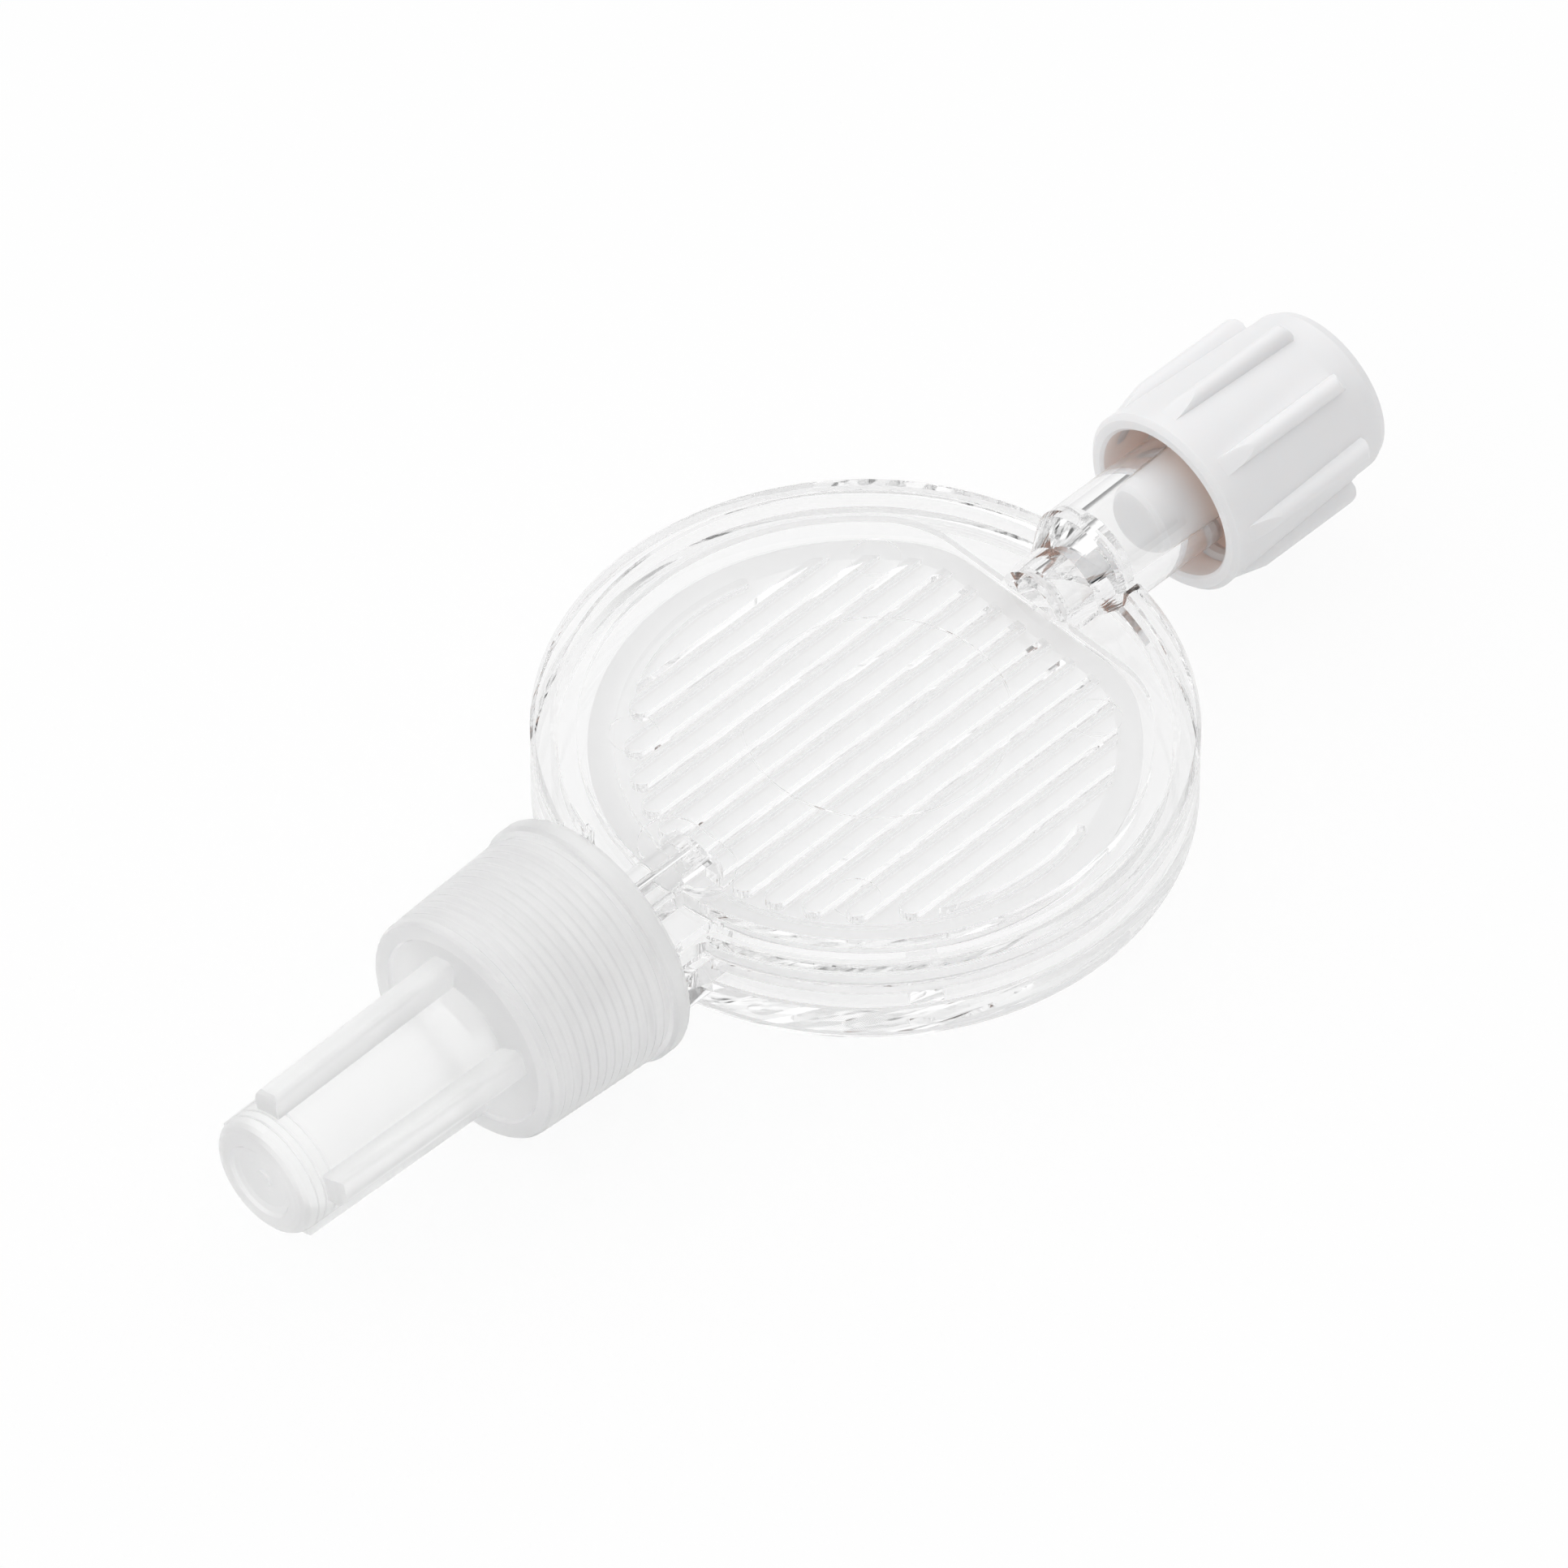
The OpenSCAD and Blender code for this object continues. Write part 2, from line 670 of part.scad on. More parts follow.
module closing_plug() {
    tip_r = luer_female_d / 2 - (hub_end_x - plug_tip_x) * luer_taper / 2 - fit_clearance;
    cone_l = plug_end_x - plug_floor_t - plug_tip_x;
    color("white") {
        turned([[plug_tip_x, 0], [plug_tip_x, tip_r - 0.2], [plug_tip_x + 0.2, tip_r],
                [plug_end_x - plug_floor_t, tip_r + cone_l * luer_taper / 2],
                [plug_end_x - plug_floor_t, plug_bore_r], [plug_mouth_x + 0.15, plug_bore_r],
                [plug_mouth_x, plug_bore_r + 0.15], [plug_mouth_x, plug_mouth_r - 0.25],
                [plug_mouth_x + 0.25, plug_mouth_r], [plug_end_x - plug_band_l, plug_end_r],
                [plug_end_x - plug_band_l, plug_end_r - 0.06], [plug_end_x - plug_round, plug_end_r - 0.1],
                [plug_end_x - 0.3 * plug_round, plug_end_r - 0.1 - 0.3 * plug_round],
                [plug_end_x, plug_end_r - plug_round], [plug_end_x, 0]], inlet_z);
        grip_ribs();
    }
}

// ---- protective cap ----

// Outer profile of the skirt with its grip rings, as [distance, radius] points.
function ringed_skirt(x0, x1, r0, r1) = [
    for (k = [0 : grip_rings - 1])
        for (s = [0, 0.35, 0.5, 0.85])
            let (t = (k + s) / grip_rings)
                [x0 + t * (x1 - x0), r0 + t * (r1 - r0) - (s == 0 || s == 0.85 ? grip_depth : 0)]
];

// Outer profile of the bare end of the nose with its fine rings, as [distance, radius] points.
function nose_ring_points() = [
    for (d = nose_rings)
        for (s = [[-0.07, 0], [-0.02, 1], [0.07, 0]])
            let (x = nose_tip_x - d + s[0])
                [x, nose_base_d / 2 - nose_slope * (x - nose_base_x) - s[1] * nose_ring_depth]
];

// Section of one rib on the nose: a radial bar with rounded corners.
module nose_rib_section() {
    crest_r = nose_base_d / 2 + nose_rib_h;
    translate([0, -nose_rib_w / 2])
        square([crest_r - nose_rib_round, nose_rib_w]);
    translate([0, nose_rib_round - nose_rib_w / 2])
        square([crest_r, nose_rib_w - 2 * nose_rib_round]);
    for (side = [-1, 1])
        translate([crest_r - nose_rib_round, side * (nose_rib_w / 2 - nose_rib_round)])
            circle(nose_rib_round, $fn = 32);
}

// Ribs on the nose, which lean towards its axis and end short of the tip.
module nose_ribs() {
    end_x = nose_tip_x - nose_bare_l;
    end_r = nose_base_d / 2 - nose_slope * (end_x - nose_base_x) + nose_rib_end_h;
    lean = atan((nose_base_d / 2 + nose_rib_h - end_r) / (end_x - nose_base_x));
    intersection() {
        for (k = [0 : nose_ribs - 1])
            translate([-cap_front_x, 0, outlet_z])
                rotate([nose_rib_turn + k * 360 / nose_ribs, 0, 0])
                    rotate([0, -90 - lean, 0])
                        linear_extrude(nose_l)
                            nose_rib_section();
        turned([[cap_front_x - overlap, 0], [cap_front_x - overlap, cap_bore_r], [end_x - 0.4, cap_bore_r],
                [end_x - 0.4, end_r + overlap], [end_x - 0.12, end_r - 0.12], [end_x, end_r - 0.4],
                [end_x, 0]], outlet_z, -1);
    }
}

module protective_cap() {
    flange_end_x = cap_back_x + cap_flange_l;
    flange_r = cap_skirt_r + cap_flange_h;
    front_edge_x = cap_front_x - 0.45;
    recess_x = cap_front_x - cap_recess;
    recess_r = cap_front_r - 0.14 - cap_lip_w;
    web_x = recess_x - cap_web_t;
    nose_bore_tip_r = luer_male_d / 2 - luer_taper / 2 + fit_clearance;
    nose_bore_l = luer_tip_x + 1 - collar_back_x;
    color("gainsboro")
        difference() {
            union() {
                turned(concat(
                    [[cap_back_x, cap_bore_r], [cap_back_x, flange_r - 0.3], [cap_back_x + 0.1, flange_r - 0.1],
                     [cap_back_x + 0.3, flange_r], [flange_end_x - 0.2, flange_r],
                     [flange_end_x, flange_r - 0.15], [flange_end_x, cap_skirt_r - 0.2],
                     [flange_end_x + 0.3, cap_skirt_r - 0.2]],
                    ringed_skirt(flange_end_x + 0.4, front_edge_x, cap_skirt_r, cap_front_r),
                    [[front_edge_x, cap_front_r], [cap_front_x - 0.15, cap_front_r - 0.04],
                     [cap_front_x, cap_front_r - 0.14], [cap_front_x, recess_r + 0.05],
                     [recess_x, recess_r - 0.05], [nose_base_x, nose_base_d / 2]],
                    nose_ring_points(),
                    [[nose_tip_x - nose_round, nose_tip_d / 2],
                     [nose_tip_x - 0.6 * nose_round, nose_tip_d / 2 - 0.08 * nose_round],
                     [nose_tip_x - 0.29 * nose_round, nose_tip_d / 2 - 0.29 * nose_round],
                     [nose_tip_x - 0.08 * nose_round, nose_tip_d / 2 - 0.6 * nose_round],
                     [nose_tip_x, nose_tip_d / 2 - nose_round], [nose_tip_x, tip_recess_d / 2 + 0.05],
                     [nose_tip_x - 0.5 * tip_recess_depth, tip_recess_d / 2 - 0.08],
                     [nose_tip_x - 0.85 * tip_recess_depth, tip_recess_d / 2 - 0.35],
                     [nose_tip_x - tip_recess_depth, tip_recess_d / 2 - 0.9],
                     [nose_tip_x - tip_recess_depth, gate_r], [nose_tip_x - tip_recess_depth + 0.08, gate_r],
                     [nose_tip_x - tip_recess_depth + 0.08, 0], [web_x, 0], [web_x, cap_bore_r]]),
                    outlet_z, -1);
                nose_ribs();
            }
            bar_x(-luer_tip_x - 1, -web_x + overlap, nose_bore_tip_r,
                  nose_bore_tip_r + (luer_tip_x + 1 - web_x + overlap) * luer_taper / 2, outlet_z);
        }
}

upper_housing();
lower_housing();
membrane();
closing_plug();
protective_cap();
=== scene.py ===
"""In-line disc filter with luer ports: finishes, fine details and studio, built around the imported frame."""

import logging
import math
from dataclasses import dataclass
from enum import Enum

import bpy
from mathutils import Matrix, Vector


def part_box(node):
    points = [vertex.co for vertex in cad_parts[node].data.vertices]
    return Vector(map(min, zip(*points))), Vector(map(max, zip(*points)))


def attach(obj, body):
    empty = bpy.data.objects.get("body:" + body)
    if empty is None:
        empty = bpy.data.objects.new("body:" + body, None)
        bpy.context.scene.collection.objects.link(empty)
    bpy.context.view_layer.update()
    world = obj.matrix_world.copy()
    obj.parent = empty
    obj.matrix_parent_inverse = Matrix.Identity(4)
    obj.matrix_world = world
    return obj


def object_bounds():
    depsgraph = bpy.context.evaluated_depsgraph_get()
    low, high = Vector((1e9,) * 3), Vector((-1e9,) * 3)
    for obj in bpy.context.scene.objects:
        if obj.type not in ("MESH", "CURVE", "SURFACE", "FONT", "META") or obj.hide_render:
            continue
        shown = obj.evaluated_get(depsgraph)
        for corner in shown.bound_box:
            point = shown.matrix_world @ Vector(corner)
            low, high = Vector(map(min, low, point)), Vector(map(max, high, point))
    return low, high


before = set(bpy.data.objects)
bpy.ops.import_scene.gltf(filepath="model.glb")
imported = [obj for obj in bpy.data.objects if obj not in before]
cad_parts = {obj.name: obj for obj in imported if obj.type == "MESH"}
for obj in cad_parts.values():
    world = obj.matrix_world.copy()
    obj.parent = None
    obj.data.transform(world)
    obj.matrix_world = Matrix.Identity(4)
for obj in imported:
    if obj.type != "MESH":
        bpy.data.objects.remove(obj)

CAD_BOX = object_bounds()
MM = 0.001
WHITE = (1.0, 1.0, 1.0, 1.0)

log = logging.getLogger("disc_filter")


# ---------------------------------------------------------------- nodes and colours


def linear(code: str) -> tuple[float, float, float, float]:
    """Turns an sRGB hex colour into linear RGBA.

    Args:
        code: Six hex digits with a leading #, such as "#f2f2f0".

    Returns:
        Red, green, blue and an alpha of 1, ready for a colour socket.
    """
    shares = (int(code[i : i + 2], 16) / 255 for i in (1, 3, 5))
    red, green, blue = (s / 12.92 if s <= 0.04045 else ((s + 0.055) / 1.055) ** 2.4 for s in shares)
    return red, green, blue, 1.0


def add_node(
    tree: bpy.types.NodeTree,
    kind: str,
    settings: dict[str, object] | None = None,
    inputs: dict[str | int, object] | None = None,
) -> bpy.types.Node:
    """Adds one node with its settings and links.

    Args:
        tree: The node tree that gets the node.
        kind: The node's type, without the leading "ShaderNode".
        settings: Attributes of the node by name.
        inputs: Input sockets by name or place. A socket as value is linked, anything else is set.

    Returns:
        The new node.
    """
    node = tree.nodes.new("ShaderNode" + kind)
    for name, value in (settings or {}).items():
        setattr(node, name, value)
    for name, value in (inputs or {}).items():
        if isinstance(value, bpy.types.NodeSocket):
            tree.links.new(value, node.inputs[name])
        else:
            node.inputs[name].default_value = value
    return node


def new_tree(owner: bpy.types.Material | bpy.types.World) -> bpy.types.NodeTree:
    """Returns the owner's node tree, switched on and emptied."""
    owner.use_nodes = True
    owner.node_tree.nodes.clear()
    return owner.node_tree


def lamp_passing(tree: bpy.types.NodeTree, body: bpy.types.Node, tint: str) -> None:
    """Ends a tree with a shader that light from lamps passes, so that what lies behind it is lit.

    Args:
        tree: The material's node tree.
        body: The shader node that every other ray meets.
        tint: The share of the light that passes, as an sRGB hex colour.
    """
    path = add_node(tree, "LightPath")
    clear = add_node(tree, "BsdfTransparent", None, {"Color": linear(tint)})
    mix = add_node(
        tree,
        "MixShader",
        None,
        {0: path.outputs["Is Shadow Ray"], 1: body.outputs["BSDF"], 2: clear.outputs["BSDF"]},
    )
    add_node(tree, "OutputMaterial", None, {"Surface": mix.outputs["Shader"]})


# ---------------------------------------------------------------- finishes


@dataclass(frozen=True)
class ClearAcrylic:
    """Injection-moulded clear acrylic."""

    # The polished mould leaves faces like glass: the sky shows in them and the film shows through them.
    # Cooling leaves slow waves about 3 mm long and a few microns deep, which make the reflections swim.
    name: str = "clear_acrylic_moulded"
    tint: str = "#fafafa"
    ior: float = 1.49
    roughness: float = 0.015
    wave_mm: float = 3.0
    wave_height_mm: float = 0.004

    def build(self) -> bpy.types.Material:
        """Builds the material.

        Returns:
            A clear material that bends light and lets lamps through.
        """
        material = bpy.data.materials.new(self.name)
        tree = new_tree(material)
        place = add_node(tree, "TexCoord")
        waves = add_node(
            tree,
            "TexNoise",
            None,
            {"Vector": place.outputs["Object"], "Scale": 1 / (self.wave_mm * MM), "Detail": 0.0},
        )
        bump = add_node(
            tree, "Bump", None, {"Height": waves.outputs["Fac"], "Distance": self.wave_height_mm * MM}
        )
        body = add_node(
            tree,
            "BsdfPrincipled",
            None,
            {
                "Base Color": linear(self.tint),
                "IOR": self.ior,
                "Roughness": self.roughness,
                "Transmission Weight": 1.0,
                "Normal": bump.outputs["Normal"],
            },
        )
        lamp_passing(tree, body, self.tint)
        return material


@dataclass(frozen=True)
class WeldedFace:
    """Faces of two clear acrylic mouldings that ultrasonic welding has joined."""

    # The melt leaves no air between them, so light passes as if the faces weren't there.
    name: str = "acrylic_welded_face"

    def build(self) -> bpy.types.Material:
        """Builds the material.

        Returns:
            A fully clear material that doesn't bend light.
        """
        material = bpy.data.materials.new(self.name)
        tree = new_tree(material)
        clear = add_node(tree, "BsdfTransparent", None, {"Color": WHITE})
        add_node(tree, "OutputMaterial", None, {"Surface": clear.outputs["BSDF"]})
        return material


@dataclass(frozen=True)
class MicroporousFilm:
    """Cast microporous polymer film."""

    # Its pores scatter all light, so it is matt, the whitest surface of the part, and a little lit from
    # below.
    name: str = "microporous_film_cast"
    colour: str = "#fcfcfc"
    roughness: float = 0.5
    through: float = 0.1

    def build(self) -> bpy.types.Material:
        """Builds the material.

        Returns:
            A matt white material that also glows with the light behind it.
        """
        material = bpy.data.materials.new(self.name)
        tree = new_tree(material)
        front = add_node(
            tree, "BsdfDiffuse", None, {"Color": linear(self.colour), "Roughness": self.roughness}
        )
        back = add_node(tree, "BsdfTranslucent", None, {"Color": linear(self.colour)})
        mix = add_node(
            tree, "MixShader", None, {0: self.through, 1: front.outputs["BSDF"], 2: back.outputs["BSDF"]}
        )
        add_node(tree, "OutputMaterial", None, {"Surface": mix.outputs["Shader"]})
        return material


@dataclass(frozen=True)
class WhitePolyethylene:
    """Injection-moulded white polyethylene."""

    # It is opaque and waxy, with a soft broad gloss. Light bleeds half a millimetre into it and softens
    # its edges. Deep in the mouth, where its own walls close in, a warm painted shade is mixed into its
    # colour, standing in for light scattered many times there. The grain of the spark-eroded mould is finer
    # than 0.05 mm and is drawn four times as coarse, so that it shows.
    name: str = "white_polyethylene_moulded"
    colour: str = "#eeeeef"
    # painted shade: the warm tint that goes where the plug's own walls close in, with its reach, openness
    # range and samples below
    painted_shade_colour: str = "#f4dfd2"
    painted_shade_mm: float = 6.0
    painted_shade_open: tuple[float, float] = (0.1, 0.5)
    painted_shade_samples: int = 8
    ior: float = 1.51
    roughness: float = 0.36
    bleed: float = 0.5
    bleed_mm: float = 0.5
    bleed_rgb: tuple[float, float, float] = (1.0, 0.9, 0.85)
    grain_mm: float = 0.2
    grain_height_mm: float = 0.002

    def colour_with_painted_shade(self, tree: bpy.types.NodeTree) -> bpy.types.NodeSocket:
        """Adds the colour, with a warm painted shade where the plug's own walls close in.

        Args:
            tree: The material's node tree.

        Returns:
            The colour's socket.
        """
        # painted shade: ambient occlusion from the plug's own walls picks where the warm tint is painted
        open_share = add_node(
            tree,
            "AmbientOcclusion",
            {"only_local": True, "samples": self.painted_shade_samples},
            {"Distance": self.painted_shade_mm * MM},
        )
        shut, free = self.painted_shade_open
        painted_shade_share = add_node(
            tree,
            "MapRange",
            None,
            {"Value": open_share.outputs["AO"], "From Min": shut, "From Max": free},
        )
        colour = add_node(
            tree,
            "MixRGB",
            None,
            {"Fac": painted_shade_share.outputs["Result"], 1: linear(self.painted_shade_colour), 2: linear(self.colour)},
        )
        return colour.outputs["Color"]

    def build(self) -> bpy.types.Material:
        """Builds the material.

        Returns:
            A waxy white material with a very fine grain.
        """
        material = bpy.data.materials.new(self.name)
        tree = new_tree(material)
        place = add_node(tree, "TexCoord")
        grain = add_node(
            tree,
            "TexNoise",
            None,
            {"Vector": place.outputs["Object"], "Scale": 1 / (self.grain_mm * MM), "Detail": 2.0},
        )
        bump = add_node(
            tree, "Bump", None, {"Height": grain.outputs["Fac"], "Distance": self.grain_height_mm * MM}
        )
        body = add_node(
            tree,
            "BsdfPrincipled",
            None,
            {
                "Base Color": self.colour_with_painted_shade(tree),
                "IOR": self.ior,
                "Roughness": self.roughness,
                "Subsurface Weight": self.bleed,
                "Subsurface Radius": self.bleed_rgb,
                "Subsurface Scale": self.bleed_mm * MM,
                "Normal": bump.outputs["Normal"],
            },
        )
        add_node(tree, "OutputMaterial", None, {"Surface": body.outputs["BSDF"]})
        return material


@dataclass(frozen=True)
class NaturalPolypropylene:
    """Injection-moulded polypropylene without pigment."""

    # Its crystals scatter what shows through, so it is milky and nothing shows sharp behind it, while its
    # fairly smooth skin keeps the ring edges crisp.
    name: str = "natural_polypropylene_moulded"
    colour: str = "#ffffff"
    lamp_tint: str = "#f0f0f0"
    ior: float = 1.49
    roughness: float = 0.28
    clearness: float = 0.7

    def build(self) -> bpy.types.Material:
        """Builds the material.

        Returns:
            A milky material, part frosted glass and part white.
        """
        material = bpy.data.materials.new(self.name)
        tree = new_tree(material)
        body = add_node(
            tree,
            "BsdfPrincipled",
            None,
            {
                "Base Color": linear(self.colour),
                "IOR": self.ior,
                "Roughness": self.roughness,
                "Transmission Weight": self.clearness,
            },
        )
        lamp_passing(tree, body, self.lamp_tint)
        return material


# ---------------------------------------------------------------- sub-assemblies


@dataclass(frozen=True)
class Weld:
    """A box round faces on which the two housings are one, in millimetres.

    The faces that lie wholly inside inner_r aren't part of it.
    """

    low: tuple[float, float, float]
    high: tuple[float, float, float]
    inner_r: float = 0.0

    def holds(self, corners: list[Vector]) -> bool:
        """Finds whether a face belongs to the weld.

        Args:
            corners: The face's corners, in millimetres.

        Returns:
            True if its middle lies in the box and a corner lies outside the inner radius.
        """
        middle = sum(corners, Vector()) / len(corners)
        inside = all(low <= value <= high for low, value, high in zip(self.low, middle, self.high))
        return inside and max(math.hypot(c.x, c.y) for c in corners) > self.inner_r


@dataclass
class WeldedHousing:
    """The two clear halves of the disc, welded round the membrane, with ribs that only touch it."""

    far_mm: float = 20.0
    touch_mm: float = 0.01
    rib_r_mm: float = 11.8
    seam_r_mm: float = 14.3
    hub_half_mm: float = 1.6
    flange_z_mm: float = 2.15
    block_half_mm: float = 4.8
    block_reach_mm: float = 13.4
    outlet_z_mm: float = 3.8
    collar_r_mm: float = 4.0
    collar_span_mm: tuple[float, float] = (-23.6, -18.0)
    lock_crest_r_mm: float = 3.5

    def welds(self) -> list[Weld]:
        """Lists the places where the halves, and the membrane's clamped edge between them, are one.

        Returns:
            The clamped edge's two faces, the block's end, top and inner side, and the hub's two lands.
        """
        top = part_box("membrane")[1].z / MM
        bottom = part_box("membrane")[0].z / MM
        block_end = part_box("lower_housing")[0].x / MM
        block_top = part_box("lower_housing")[1].z / MM
        disc_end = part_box("lower_housing")[1].x / MM
        gap, far, wide = self.touch_mm, self.far_mm, self.block_half_mm
        return [
            Weld((-far, -far, top - gap), (far, far, top + gap), self.rib_r_mm),
            Weld((-far, -far, bottom - gap), (far, far, bottom + gap), self.rib_r_mm),
            Weld((block_end - gap, -wide, 0.0), (block_end + gap, wide, block_top)),
            Weld((block_end, -wide, block_top - gap), (-self.block_reach_mm, wide, block_top + gap)),
            Weld((-self.seam_r_mm - gap, -wide, top), (-self.block_reach_mm, wide, block_top - gap)),
            Weld(
                (self.block_reach_mm, -self.hub_half_mm, self.flange_z_mm - gap),
                (disc_end, self.hub_half_mm, self.flange_z_mm + gap),
            ),
            Weld(
                (self.block_reach_mm, -self.hub_half_mm, self.flange_z_mm + gap),
                (self.seam_r_mm + gap, self.hub_half_mm, top),
            ),
        ]

    def dress(self) -> None:
        """Gives both halves the clear finish and their welded faces the welded one, and adds the thread."""
        clear = ClearAcrylic().build()
        welded = WeldedFace().build()
        welds = self.welds()
        for node in ("upper_housing", "lower_housing"):
            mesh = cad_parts[node].data
            mesh.materials.clear()
            mesh.materials.append(clear)
            mesh.materials.append(welded)
            joined = 0
            for face in mesh.polygons:
                corners = [mesh.vertices[i].co / MM for i in face.vertices]
                face.material_index = 1 if any(w.holds(corners) for w in welds) else 0
                joined += face.material_index
            log.info("%s: clear acrylic, %d of %d faces welded", node, joined, len(mesh.polygons))
        InnerThread(
            name="lock_thread",
            body="filter",
            slot="clear_upper",
            finish=clear,
            start_mm=self.collar_span_mm[0],
            end_mm=self.collar_span_mm[1],
            axis_z_mm=self.outlet_z_mm,
            root_r_mm=self.collar_r_mm,
            crest_r_mm=self.lock_crest_r_mm,
        ).build()


@dataclass
class InnerThread:
    """A right-hand thread on the inside of a round wall along X, with ends that taper into the wall.

    The lock fitting's form: two starts, a lead of 5 mm, a ridge 1 mm wide at its root.
    """

    name: str
    body: str
    slot: str
    finish: bpy.types.Material
    start_mm: float
    end_mm: float
    axis_z_mm: float
    root_r_mm: float
    crest_r_mm: float
    starts: int = 2
    lead_mm: float = 5.0
    root_w_mm: float = 1.0
    crest_w_mm: float = 0.35
    sunk_mm: float = 0.02
    steps_a_turn: int = 96
    fade_steps: int = 12
    fade_start: float = 0.2

    def section(self, height: float) -> list[tuple[float, float]]:
        """Gives the ridge's section as places along X and radii.

        Args:
            height: Share of the full height, from 0 to 1.

        Returns:
            Four corners from root to root, in millimetres.
        """
        root, crest = self.root_w_mm / 2, self.crest_w_mm / 2
        foot = self.root_r_mm + self.sunk_mm
        top = foot + (self.crest_r_mm - foot) * height
        return [(-root, foot), (-crest, top), (crest, top), (root, foot)]

    def corners(self, start: int, steps: int) -> list[tuple[float, float, float]]:
        """Places one ridge's sections along its helix.

        Args:
            start: Which of the ridges it is.
            steps: Number of steps from its first section to its last.

        Returns:
            Four corners a section, in metres.
        """
        run = self.end_mm - self.start_mm - self.root_w_mm
        placed = []
        for step in range(steps + 1):
            ends = min(step, steps - step)
            height = min(1.0, (ends + self.fade_start) / self.fade_steps)
            along = self.start_mm + self.root_w_mm / 2 + run * step / steps
            angle = math.tau * (start / self.starts + step / self.steps_a_turn)
            for shift, radius in self.section(height):
                y = radius * math.cos(angle)
                z = radius * math.sin(angle) + self.axis_z_mm
                placed.append(((along + shift) * MM, y * MM, z * MM))
        return placed

    def build(self) -> bpy.types.Object:
        """Builds every start's ridge as one mesh and lets it ride on its body.

        Returns:
            The thread.
        """
        steps = round(self.steps_a_turn * (self.end_mm - self.start_mm - self.root_w_mm) / self.lead_mm)
        corners, faces = [], []
        for start in range(self.starts):
            first = len(corners)
            corners += self.corners(start, steps)
            last = first + steps * 4
            for low in range(first, last, 4):
                for side in range(4):
                    other = (side + 1) % 4
                    faces.append((low + side, low + other, low + 4 + other, low + 4 + side))
            faces.append((first + 3, first + 2, first + 1, first))
            faces.append((last, last + 1, last + 2, last + 3))
        mesh = bpy.data.meshes.new(self.name)
        mesh.from_pydata(corners, [], faces)
        mesh.materials.append(self.finish)
        thread = bpy.data.objects.new(self.name, mesh)
        bpy.context.scene.collection.objects.link(thread)
        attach(thread, self.body)
        log.info("%s: %d starts, %d faces", self.name, self.starts, len(faces))
        return thread


@dataclass
class FilterMembrane:
    """The filter film between the halves, drawn a hair thinner so that no face lies in another."""

    slack_mm: float = 0.02

    def dress(self) -> None:
        """Gives the film its matt white finish and a hair of room between the halves."""
        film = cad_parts["membrane"]
        film.data.materials.clear()
        film.data.materials.append(MicroporousFilm().build())
        room = film.modifiers.new("room", "DISPLACE")
        room.strength = -self.slack_mm * MM
        room.mid_level = 0.0
        log.info("membrane: microporous film")


@dataclass
class ClosingPlug:
    """The screw plug on the inlet, with a thread shallow enough to pass the hub's lugs as it slides."""

    inlet_z_mm: float = 4.6
    skirt_r_mm: float = 3.97
    skirt_span_mm: tuple[float, float] = (20.4, 27.6)
    thread_crest_r_mm: float = 3.8

    def dress(self) -> None:
        """Gives the plug its waxy white finish and its shallow inner thread."""
        white = WhitePolyethylene().build()
        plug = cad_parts["closing_plug"]
        plug.data.materials.clear()
        plug.data.materials.append(white)
        log.info("closing_plug: white polyethylene")
        InnerThread(
            name="plug_thread",
            body="plug",
            slot="white_plug",
            finish=white,
            start_mm=self.skirt_span_mm[0],
            end_mm=self.skirt_span_mm[1],
            axis_z_mm=self.inlet_z_mm,
            root_r_mm=self.skirt_r_mm,
            crest_r_mm=self.thread_crest_r_mm,
        ).build()


@dataclass
class ProtectiveCap:
    """The push-on cap over the outlet."""

    def dress(self) -> None:
        """Gives the cap its milky finish."""
        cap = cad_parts["protective_cap"]
        cap.data.materials.clear()
        cap.data.materials.append(NaturalPolypropylene().build())
        log.info("protective_cap: natural polypropylene")


# ---------------------------------------------------------------- studio


class Ray(Enum):
    """Ways in which a ray reaches the floor or the sky, by the name of their Light Path output."""

    CAMERA = "Is Camera Ray"
    REFRACTED = "Is Transmission Ray"


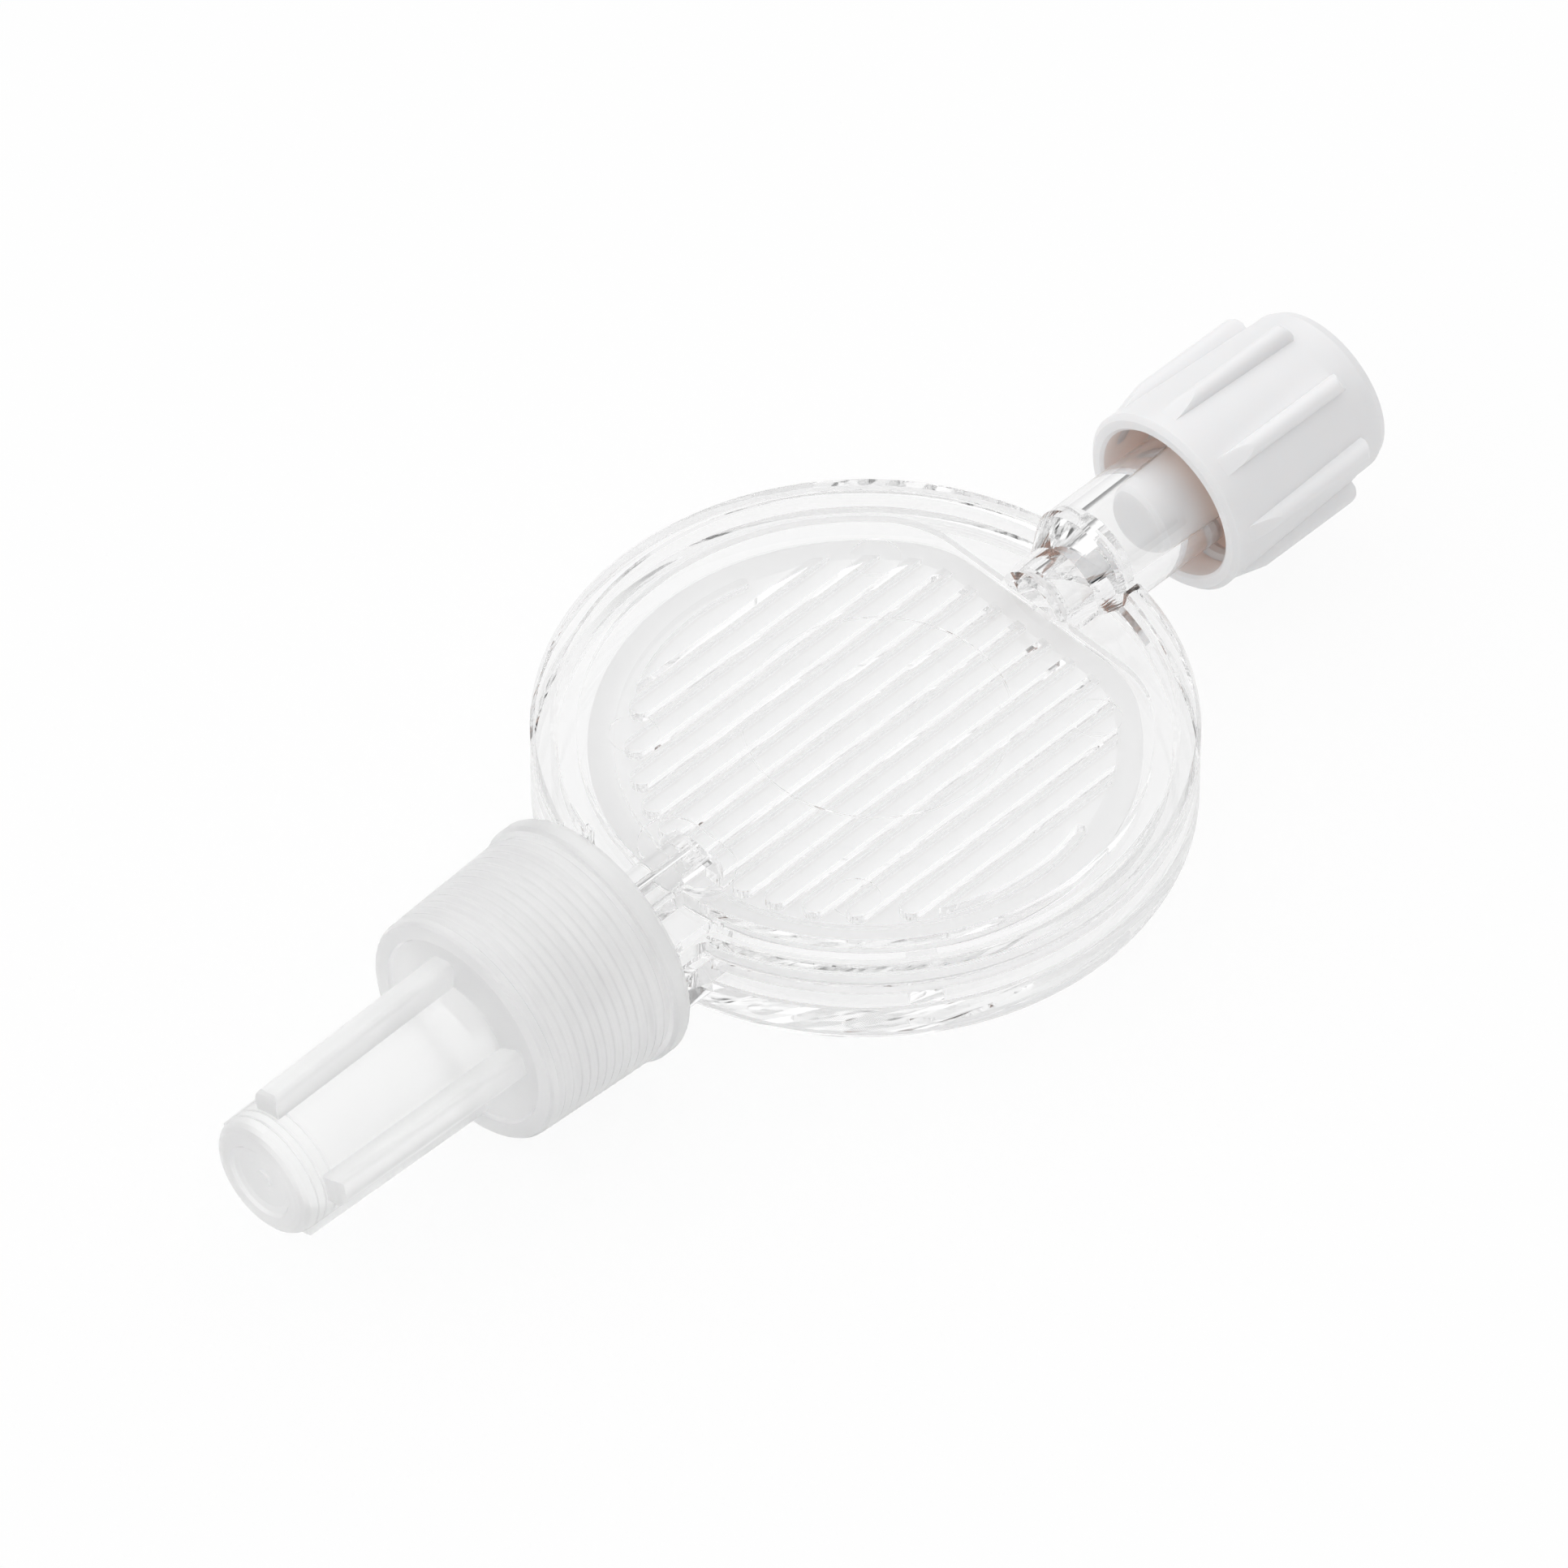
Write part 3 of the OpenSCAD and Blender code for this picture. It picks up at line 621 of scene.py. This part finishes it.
@dataclass
class Studio:
    """Pale floor and an open sky, brighter on one side, with a dark stand low where the operator is."""

    floor_size: float = 4.0
    floor_colour: str = "#f6f6f6"
    seen_shadow: float = 0.12
    refracted_shadow: float = 0.3
    sky_top: float = 0.98
    sky_side: float = 0.12
    sky_low: float = 0.06
    sky_high: float = 0.42
    bright_side: tuple[float, float, float] = (-0.35, 0.75, 0.55)
    swing: float = 0.26
    stand_azimuth: float = math.radians(225.0)
    stand_elevation: float = math.radians(12.0)
    stand_spread: float = math.radians(14.0)
    stand_core: float = 0.7
    stand_level: float = 0.03
    bounces: int = 40
    diffuse_bounces: int = 10

    def own_white(self, tree: bpy.types.NodeTree) -> bpy.types.NodeSocket:
        """Adds the share of plain white that a ray sees on the floor instead of the lit paper.

        Args:
            tree: The floor's node tree.

        Returns:
            The share's socket: high for the camera and through plastic, and none for other rays.
        """
        path = add_node(tree, "LightPath")
        shares = {Ray.CAMERA: 1 - self.seen_shadow, Ray.REFRACTED: 1 - self.refracted_shadow}
        parts = [
            add_node(tree, "Math", {"operation": "MULTIPLY"}, {0: path.outputs[ray.value], 1: share})
            for ray, share in shares.items()
        ]
        either = add_node(
            tree, "Math", {"operation": "MAXIMUM"}, {0: parts[0].outputs[0], 1: parts[1].outputs[0]}
        )
        return either.outputs[0]

    def build_floor(self) -> None:
        """Builds the floor, which keeps a faint shadow and is white to the camera and in the plastic."""
        lowest = CAD_BOX[0].z
        half = self.floor_size / 2
        mesh = bpy.data.meshes.new("floor")
        corners = [(x * half, y * half, lowest) for x, y in ((-1, -1), (1, -1), (1, 1), (-1, 1))]
        mesh.from_pydata(corners, [], [(0, 1, 2, 3)])
        floor = bpy.data.objects.new("floor", mesh)
        bpy.context.scene.collection.objects.link(floor)
        material = bpy.data.materials.new("studio_paper")
        tree = new_tree(material)
        paper = add_node(tree, "BsdfDiffuse", None, {"Color": linear(self.floor_colour)})
        white = add_node(tree, "Emission", None, {"Color": WHITE, "Strength": 1.0})
        mix = add_node(
            tree,
            "MixShader",
            None,
            {0: self.own_white(tree), 1: paper.outputs["BSDF"], 2: white.outputs["Emission"]},
        )
        add_node(tree, "OutputMaterial", None, {"Surface": mix.outputs["Shader"]})
        material.cycles.emission_sampling = "NONE"
        mesh.materials.append(material)

    def sky_level(self, tree: bpy.types.NodeTree, place: bpy.types.NodeSocket) -> bpy.types.NodeSocket:
        """Adds the open sky's level: high overhead and low at the horizon, more on the bright side.

        Args:
            tree: The world's node tree.
            place: The direction's socket.

        Returns:
            The level's socket.
        """
        height = add_node(tree, "SeparateXYZ", None, {0: place})
        level = add_node(
            tree,
            "MapRange",
            {"interpolation_type": "SMOOTHSTEP"},
            {
                "Value": height.outputs["Z"],
                "From Min": self.sky_low,
                "From Max": self.sky_high,
                "To Min": self.sky_side,
                "To Max": self.sky_top,
            },
        )
        side = add_node(
            tree,
            "VectorMath",
            {"operation": "DOT_PRODUCT"},
            {0: place, 1: Vector(self.bright_side).normalized()},
        )
        swung = add_node(
            tree,
            "Math",
            {"operation": "MULTIPLY_ADD"},
            {0: side.outputs["Value"], 1: self.swing, 2: level.outputs["Result"]},
        )
        return swung.outputs[0]

    def past_stand(self, tree: bpy.types.NodeTree, place: bpy.types.NodeSocket) -> bpy.types.NodeSocket:
        """Adds the share of the sky's light that the stand leaves.

        Args:
            tree: The world's node tree.
            place: The direction's socket.

        Returns:
            The share's socket: 1 beside the stand, and almost none on it.
        """
        flat = math.cos(self.stand_elevation)
        stand = Vector(
            (
                math.cos(self.stand_azimuth) * flat,
                math.sin(self.stand_azimuth) * flat,
                math.sin(self.stand_elevation),
            )
        )
        near = add_node(tree, "VectorMath", {"operation": "DOT_PRODUCT"}, {0: place, 1: stand})
        share = add_node(
            tree,
            "MapRange",
            {"interpolation_type": "SMOOTHSTEP"},
            {
                "Value": near.outputs["Value"],
                "From Min": math.cos(self.stand_spread),
                "From Max": math.cos(self.stand_spread * self.stand_core),
                "To Min": 1.0,
                "To Max": self.stand_level,
            },
        )
        return share.outputs["Result"]

    def build_sky(self) -> None:
        """Builds the sky, which lights the part and is white to the camera."""
        world = bpy.data.worlds.new("studio")
        # Clear plastic already lets the sky through, so the sky isn't sampled as a lamp as well.
        world.cycles.sampling_method = "NONE"
        bpy.context.scene.world = world
        tree = new_tree(world)
        place = add_node(tree, "TexCoord").outputs["Generated"]
        strength = add_node(
            tree,
            "Math",
            {"operation": "MULTIPLY"},
            {0: self.sky_level(tree, place), 1: self.past_stand(tree, place)},
        )
        light = add_node(tree, "Background", None, {"Color": WHITE, "Strength": strength.outputs[0]})
        white = add_node(tree, "Background", None, {"Color": WHITE, "Strength": 1.0})
        path = add_node(tree, "LightPath")
        mix = add_node(
            tree,
            "MixShader",
            None,
            {0: path.outputs[Ray.CAMERA.value], 1: light.outputs[0], 2: white.outputs[0]},
        )
        add_node(tree, "OutputWorld", None, {"Surface": mix.outputs["Shader"]})

    def build(self) -> None:
        """Builds the floor and the sky, and lets light travel far enough through clear plastic."""
        self.build_floor()
        self.build_sky()
        scene = bpy.context.scene
        scene.view_settings.view_transform = "Standard"
        scene.cycles.blur_glossy = 0.0
        scene.cycles.max_bounces = self.bounces
        scene.cycles.diffuse_bounces = self.diffuse_bounces
        scene.cycles.glossy_bounces = self.bounces
        scene.cycles.transmission_bounces = self.bounces
        scene.cycles.transparent_max_bounces = self.bounces
        log.info("studio: floor and sky")


@dataclass
class StudioCamera:
    """A long lens that looks down on the part from the outlet's side."""

    azimuth: float = math.radians(44.99)
    elevation: float = math.radians(47.48)
    distance: float = 752.62 * MM
    shift_right: float = -3.76 * MM
    shift_up: float = 0.306 * MM
    lens_mm: float = 372.67081
    sensor_mm: float = 36.0
    near_share: float = 0.1
    far_times: float = 20.0

    def build(self) -> None:
        """Places the camera and makes it the scene's."""
        back = Vector(
            (
                -math.sin(self.azimuth) * math.cos(self.elevation),
                -math.cos(self.azimuth) * math.cos(self.elevation),
                math.sin(self.elevation),
            )
        )
        right = Vector((math.cos(self.azimuth), -math.sin(self.azimuth), 0.0))
        up = back.cross(right)
        data = bpy.data.cameras.new("camera")
        data.sensor_width = self.sensor_mm
        data.lens = self.lens_mm
        camera = bpy.data.objects.new("camera", data)
        bpy.context.scene.collection.objects.link(camera)
        turn = Matrix((right, up, back)).transposed().to_4x4()
        centre = right * self.shift_right + up * self.shift_up
        camera.matrix_world = Matrix.Translation(centre + back * self.distance) @ turn
        data.clip_start = self.distance * self.near_share
        data.clip_end = self.distance * self.far_times
        bpy.context.scene.camera = camera
        log.info("camera: %.0f mm lens", data.lens)


# ---------------------------------------------------------------- whole


def main() -> None:
    """Builds the studio and every part of the filter in order."""
    logging.basicConfig(level=logging.INFO, format="%(name)s: %(message)s")
    StudioCamera().build()
    Studio().build()
    WeldedHousing().dress()
    FilterMembrane().dress()
    ClosingPlug().dress()
    ProtectiveCap().dress()


if __name__ == "__main__":
    main()
